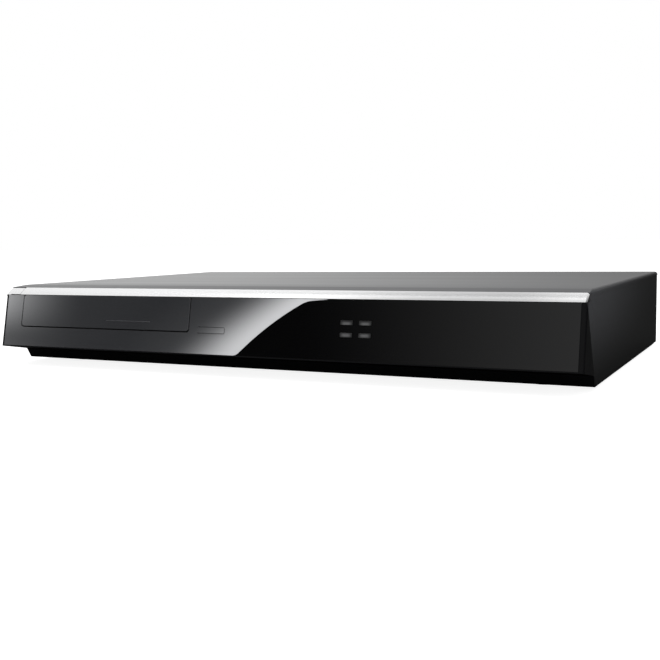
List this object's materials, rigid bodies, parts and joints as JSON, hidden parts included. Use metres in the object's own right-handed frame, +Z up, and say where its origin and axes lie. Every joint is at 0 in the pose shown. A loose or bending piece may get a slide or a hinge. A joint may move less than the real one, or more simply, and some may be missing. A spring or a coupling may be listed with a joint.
{
  "type": "dvd recorder",
  "caption": "Low full-width disc recorder with a leaning two-tone fascia, a motorised disc tray, front keys, a vented case and rear sockets.",
  "frame": {"origin": "middle of the footprint, on the surface that the feet stand on", "axes": "+X to the viewer's right across the front, +Y to the rear sockets, +Z up"},
  "size_m": [0.43, 0.286, 0.059],
  "materials": {
    "cover_paint": "satin",
    "strip_metal": "satin",
    "dark_metallic": "gloss",
    "piano_black": "gloss",
    "frame_grey": "satin",
    "key_silver": "satin",
    "zinc_sheet": "satin",
    "rear_paint": "satin",
    "foot_rubber": "matte",
    "screw_steel": "satin",
    "board_green": "satin",
    "board_tan": "satin",
    "chip_black": "matte",
    "display_glass": "gloss",
    "lens_glass": "gloss",
    "tray_black": "satin",
    "drive_black": "matte",
    "gear_white": "satin",
    "belt_rubber": "matte",
    "motor_steel": "satin",
    "bridge_steel": "satin",
    "rod_steel": "polished",
    "pickup_alloy": "cast",
    "sink_alloy": "satin",
    "tin_can": "satin",
    "winding_tape": "satin",
    "capacitor_sleeve": "satin",
    "ribbon_white": "satin",
    "wire_red": "satin",
    "jack_black": "satin",
    "socket_steel": "polished",
    "fan_black": "satin"
  },
  "bodies": {
    "case": {"top_cover": "cover_paint", "bottom_chassis": "zinc_sheet", "rear_panel": "rear_paint", "feet": "foot_rubber", "case_screws": "screw_steel", "front_frame": "frame_grey", "trim_strip": "strip_metal", "silver_fascia": "dark_metallic", "black_fascia": "piano_black", "front_boards": "board_tan", "tact_switches": "chip_black", "display_tube": "display_glass", "remote_sensor": "chip_black", "drive_chassis": "drive_black", "clamp_bridge": "bridge_steel", "loading_belt": "belt_rubber", "loading_motor": "motor_steel", "drive_board": "board_green", "inner_screws": "screw_steel", "main_board": "board_green", "main_chips": "chip_black", "main_heat_sink": "sink_alloy", "tuner_can": "tin_can", "power_board": "board_tan", "power_transformer": "winding_tape", "power_capacitors": "capacitor_sleeve", "power_heat_sink": "sink_alloy", "mains_filter": "wire_red", "front_ribbon": "ribbon_white", "power_harness": "wire_red", "av_input_jacks": "jack_black", "av_output_jacks": "jack_black", "aerial_sockets": "socket_steel", "hdmi_socket": "socket_steel", "optical_socket": "jack_black", "mains_inlet": "jack_black", "fan_frame": "fan_black"},
    "tray": {"disc_tray": "tray_black", "tray_lid": "dark_metallic"},
    "drive_gear": {"drive_gear": "gear_white"},
    "pulley_gear": {"pulley_gear": "gear_white"},
    "motor_pulley": {"motor_pulley": "gear_white"},
    "lift_cam": {"lift_cam": "gear_white"},
    "traverse": {"traverse_frame": "bridge_steel", "guide_rods": "rod_steel", "spindle_motor": "motor_steel", "feed_motor": "motor_steel"},
    "turntable": {"turntable": "tray_black"},
    "clamper": {"clamper": "gear_white"},
    "pickup": {"pickup": "pickup_alloy", "pickup_lens": "lens_glass"},
    "feed_gear": {"feed_gear": "gear_white"},
    "feed_pinion": {"feed_pinion": "gear_white"},
    "fan_rotor": {"fan_rotor": "fan_black"},
    "power_button": {"power_button": "strip_metal"},
    "eject_button": {"eject_button": "key_silver"},
    "stop_key": {"stop_key": "key_silver"},
    "play_key": {"play_key": "key_silver"},
    "record_key": {"record_key": "key_silver"},
    "channel_key": {"channel_key": "key_silver"}
  },
  "joints": [
    {"name": "tray_slide", "type": "slide", "parent": "case", "child": "tray", "axis": [0, -1, 0], "range_m": [0, 0.145]},
    {"name": "drive_gear_spin", "type": "hinge", "parent": "case", "child": "drive_gear", "pos_m": [-0.088, -0.1015, 0.035], "axis": [0, 0, -1], "range_deg": [0, 693]},
    {"name": "pulley_gear_spin", "type": "hinge", "parent": "case", "child": "pulley_gear", "pos_m": [-0.1072, -0.1015, 0.035], "axis": [0, 0, 1], "range_deg": [0, 1155]},
    {"name": "motor_pulley_spin", "type": "hinge", "parent": "case", "child": "motor_pulley", "pos_m": [-0.1342, -0.1015, 0.03], "axis": [0, 0, 1], "range_deg": [0, 3720]},
    {"name": "traverse_tilt", "type": "hinge", "parent": "case", "child": "traverse", "pos_m": [-0.115, 0.0255, 0.0275], "axis": [1, 0, 0], "range_deg": [0, 3.6]},
    {"name": "lift_cam_slide", "type": "slide", "parent": "case", "child": "lift_cam", "axis": [-1, 0, 0], "range_m": [0, 0.014]},
    {"name": "turntable_spin", "type": "hinge", "parent": "traverse", "child": "turntable", "pos_m": [-0.123, -0.0585, 0.04], "axis": [0, 0, 1], "continuous": true},
    {"name": "clamper_spin", "type": "hinge", "parent": "case", "child": "clamper", "pos_m": [-0.123, -0.0585, 0.048], "axis": [0, 0, 1], "continuous": true},
    {"name": "pickup_slide", "type": "slide", "parent": "traverse", "child": "pickup", "axis": [0, 1, 0], "range_m": [0, 0.034]},
    {"name": "feed_gear_spin", "type": "hinge", "parent": "traverse", "child": "feed_gear", "pos_m": [-0.081, -0.012, 0.03], "axis": [0, 0, -1], "range_deg": [0, 178]},
    {"name": "feed_pinion_spin", "type": "hinge", "parent": "traverse", "child": "feed_pinion", "pos_m": [-0.081, -0.0275, 0.03], "axis": [0, 0, 1], "range_deg": [0, 434]},
    {"name": "fan_spin", "type": "hinge", "parent": "case", "child": "fan_rotor", "pos_m": [-0.15, 0.126, 0.031], "axis": [0, 1, 0], "continuous": true},
    {"name": "power_button_press", "type": "slide", "parent": "case", "child": "power_button", "axis": [0, 1, 0], "range_m": [0, 0.0008], "stiffness_N_per_m": 600},
    {"name": "eject_button_press", "type": "slide", "parent": "case", "child": "eject_button", "axis": [0, 1, 0], "range_m": [0, 0.0006], "stiffness_N_per_m": 600},
    {"name": "stop_key_press", "type": "slide", "parent": "case", "child": "stop_key", "axis": [0, 1, 0], "range_m": [0, 0.0005], "stiffness_N_per_m": 600},
    {"name": "play_key_press", "type": "slide", "parent": "case", "child": "play_key", "axis": [0, 1, 0], "range_m": [0, 0.0005], "stiffness_N_per_m": 600},
    {"name": "record_key_press", "type": "slide", "parent": "case", "child": "record_key", "axis": [0, 1, 0], "range_m": [0, 0.0005], "stiffness_N_per_m": 600},
    {"name": "channel_key_press", "type": "slide", "parent": "case", "child": "channel_key", "axis": [0, 1, 0], "range_m": [0, 0.0005], "stiffness_N_per_m": 600}
  ],
  "couplings": [
    {"joint": "drive_gear_spin", "follows": "tray_slide", "rad_per_m": 83.333},
    {"joint": "pulley_gear_spin", "follows": "tray_slide", "rad_per_m": 138.89},
    {"joint": "motor_pulley_spin", "follows": "tray_slide", "rad_per_m": 447.53},
    {"joint": "lift_cam_slide", "follows": "traverse_tilt", "m_per_rad": 0.22281},
    {"joint": "clamper_spin", "follows": "turntable_spin", "ratio": 1},
    {"joint": "feed_gear_spin", "follows": "pickup_slide", "rad_per_m": 90.909},
    {"joint": "feed_pinion_spin", "follows": "pickup_slide", "rad_per_m": 222.22}
  ]
}
